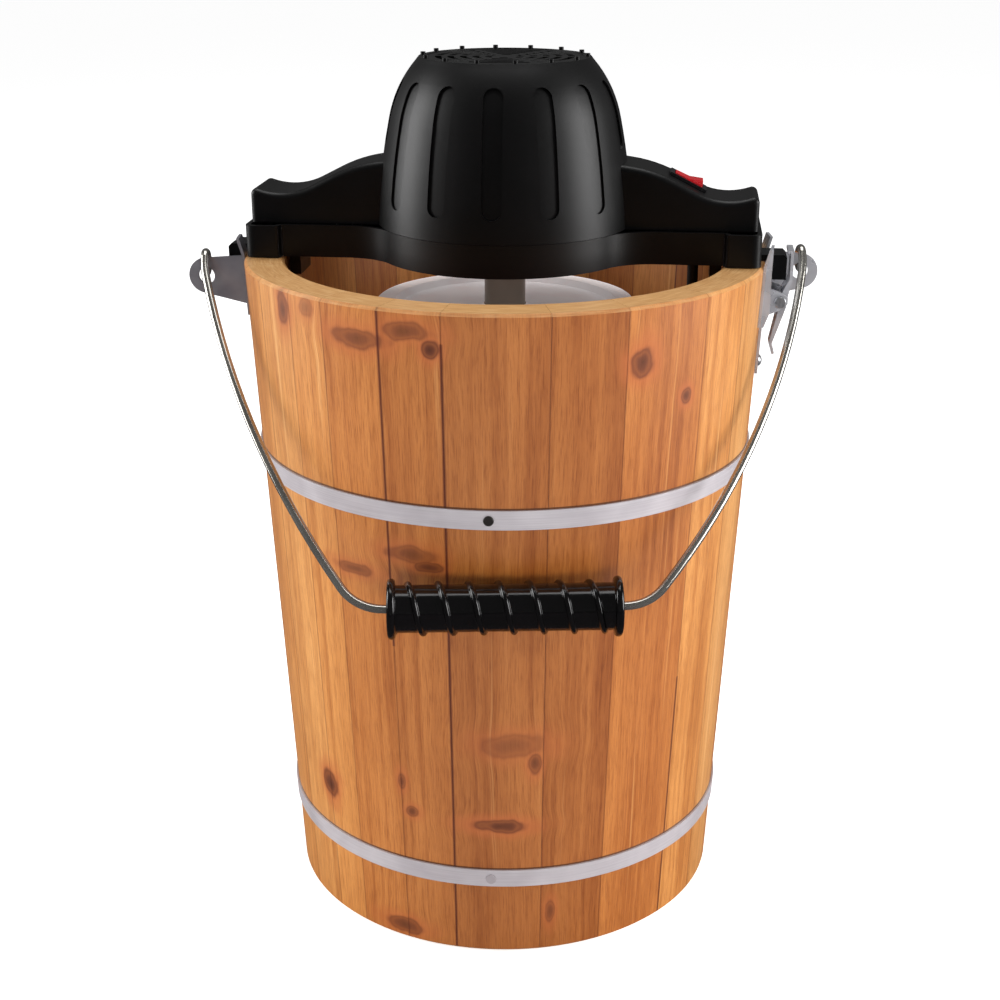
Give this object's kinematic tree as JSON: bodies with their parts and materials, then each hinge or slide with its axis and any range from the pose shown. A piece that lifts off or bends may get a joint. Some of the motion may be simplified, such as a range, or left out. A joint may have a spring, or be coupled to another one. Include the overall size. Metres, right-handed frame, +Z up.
{
  "type": "ice cream freezer",
  "caption": "Ice cream freezer: tapering hooped stave bucket with a swinging bail, spinning canister and dasher, and a latched electric motor head across the rim.",
  "frame": {"origin": "on the bucket's axis at the plane of its foot", "axes": "+Z up along the bucket's axis; X along the arms of the motor head, +X to the latch; -Y towards the side where the bail hangs"},
  "size_m": [0.334, 0.3042, 0.4606],
  "materials": {
    "wood": "satin",
    "board": "satin",
    "hoop": "satin",
    "bracket": "satin",
    "fastener": "satin",
    "wire": "polished",
    "grip": "gloss",
    "housing": "satin",
    "switch": "satin",
    "rocker": "gloss",
    "lid": "satin",
    "can": "satin",
    "pivot": "satin",
    "dasher": "satin",
    "blade": "plain",
    "stator": "plain",
    "copper": "satin",
    "frame": "plain",
    "bronze": "satin",
    "rotor": "satin",
    "gear": "satin"
  },
  "bodies": {
    "bucket": {"stave_01": "wood", "stave_02": "wood", "stave_03": "wood", "stave_04": "wood", "stave_05": "wood", "stave_06": "wood", "stave_07": "wood", "stave_08": "wood", "stave_09": "wood", "stave_10": "wood", "stave_11": "wood", "stave_12": "wood", "stave_13": "wood", "stave_14": "wood", "stave_15": "wood", "stave_16": "wood", "stave_17": "wood", "stave_18": "wood", "stave_19": "wood", "stave_20": "wood", "stave_21": "wood", "stave_22": "wood", "stave_23": "wood", "stave_24": "wood", "bucket_bottom": "board", "can_pivot": "pivot", "upper_hoop": "hoop", "lower_hoop": "hoop", "hoop_nails": "fastener", "left_bracket": "bracket", "right_bracket": "bracket", "bracket_screws": "fastener", "latch_pin": "fastener"},
    "bail": {"bail_wire": "wire"},
    "grip": {"bail_grip": "grip"},
    "latch": {"latch_lever": "bracket"},
    "motor_head": {"motor_cover": "housing", "motor_base": "housing", "top_grille": "housing", "cover_screws": "fastener", "switch_body": "switch", "cord_gland": "switch", "stator_core": "stator", "stator_coils": "copper", "bearing_bridge": "frame", "shaft_bearings": "bronze", "gear_plate": "frame", "idler_pin": "fastener", "stem_socket": "frame"},
    "rocker": {"switch_rocker": "rocker"},
    "rotor": {"rotor_shaft": "rotor", "cooling_fan": "gear"},
    "lay_gear": {"idler_gear": "gear"},
    "output": {"output_gear": "gear"},
    "dasher_set": {"dasher": "dasher", "scraper_blades": "blade"},
    "can": {"canister": "can"},
    "lid": {"canister_lid": "lid"}
  },
  "joints": [
    {"name": "bail_swing", "type": "hinge", "parent": "bucket", "child": "bail", "pos_m": [0, 0, 0.35275], "axis": [-0.9904, -0.1383, 0], "range_deg": [0, 266]},
    {"name": "grip_spin", "type": "hinge", "parent": "bail", "child": "grip", "pos_m": [0.01502, -0.14379, 0.214], "axis": [0.9904, 0.1383, 0], "continuous": true},
    {"name": "latch_swing", "type": "hinge", "parent": "bucket", "child": "latch", "pos_m": [0.146, 0, 0.336], "axis": [0, 1, 0], "range_deg": [-4, 6]},
    {"name": "head_lift", "type": "slide", "parent": "bucket", "child": "motor_head", "axis": [0, 0, 1], "range_m": [0, 0.46]},
    {"name": "rocker_tilt", "type": "hinge", "parent": "motor_head", "child": "rocker", "pos_m": [0.09576, 0, 0.39704], "axis": [0, 1, 0], "range_deg": [0, 18]},
    {"name": "dasher_lift", "type": "slide", "parent": "bucket", "child": "dasher_set", "axis": [0, 0, 1], "range_m": [0, 0.345]},
    {"name": "can_spin", "type": "hinge", "parent": "dasher_set", "child": "can", "pos_m": [0, 0, 0.036], "axis": [0, 0, 1], "continuous": true},
    {"name": "lid_lift", "type": "slide", "parent": "can", "child": "lid", "axis": [0, 0, 1], "range_m": [0, 0.0552]},
    {"name": "output_spin", "type": "hinge", "parent": "motor_head", "child": "output", "pos_m": [0, 0, 0.369], "axis": [0, 0, 1], "continuous": true},
    {"name": "lay_gear_spin", "type": "hinge", "parent": "motor_head", "child": "lay_gear", "pos_m": [0, 0.0288, 0.369], "axis": [0, 0, 1], "continuous": true},
    {"name": "rotor_spin", "type": "hinge", "parent": "motor_head", "child": "rotor", "pos_m": [0, 0, 0.416], "axis": [0, 0, 1], "continuous": true}
  ],
  "couplings": [
    {"joint": "dasher_lift", "follows": "head_lift", "ratio": 0.75},
    {"joint": "lid_lift", "follows": "head_lift", "ratio": 0.12},
    {"joint": "output_spin", "follows": "can_spin", "ratio": 1},
    {"joint": "lay_gear_spin", "follows": "can_spin", "ratio": -3.5},
    {"joint": "rotor_spin", "follows": "can_spin", "ratio": 14.5}
  ]
}
